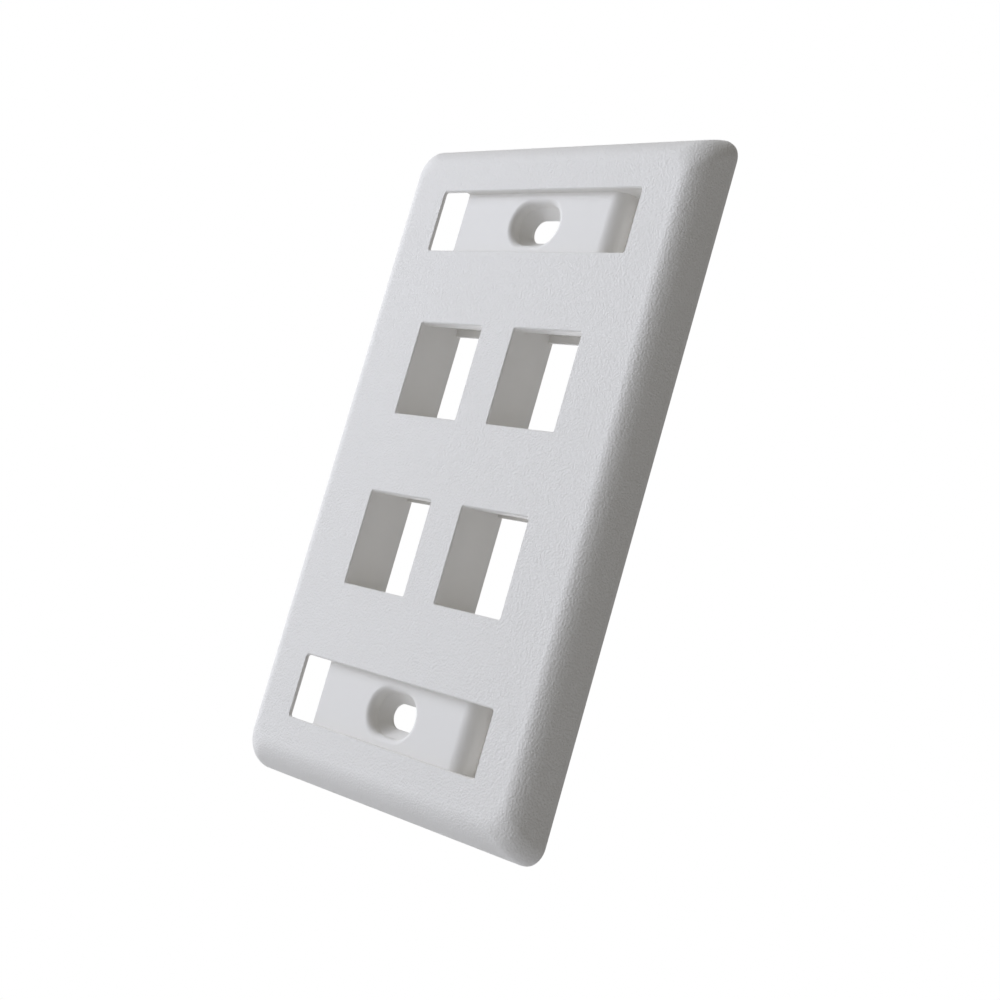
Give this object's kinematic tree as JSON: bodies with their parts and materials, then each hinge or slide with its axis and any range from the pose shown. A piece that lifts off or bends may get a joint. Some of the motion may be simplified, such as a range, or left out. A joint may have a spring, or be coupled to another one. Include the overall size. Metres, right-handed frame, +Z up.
{
  "type": "keystone faceplate",
  "caption": "Single-gang wall faceplate with open keystone jack ports, label recesses and oblong screw wells, moulded in one piece.",
  "frame": {"origin": "on the wall plane, midway between the two mounting screws", "axes": "+X to the right as the face is seen, +Y into the wall, +Z up; the face looks along -Y"},
  "size_m": [0.0698, 0.0093, 0.1142],
  "materials": {
    "moulding": "white, finely pebbled on the face, smooth in the recesses and ports"
  },
  "bodies": {
    "root": {"faceplate": "moulding"}
  },
  "joints": []
}
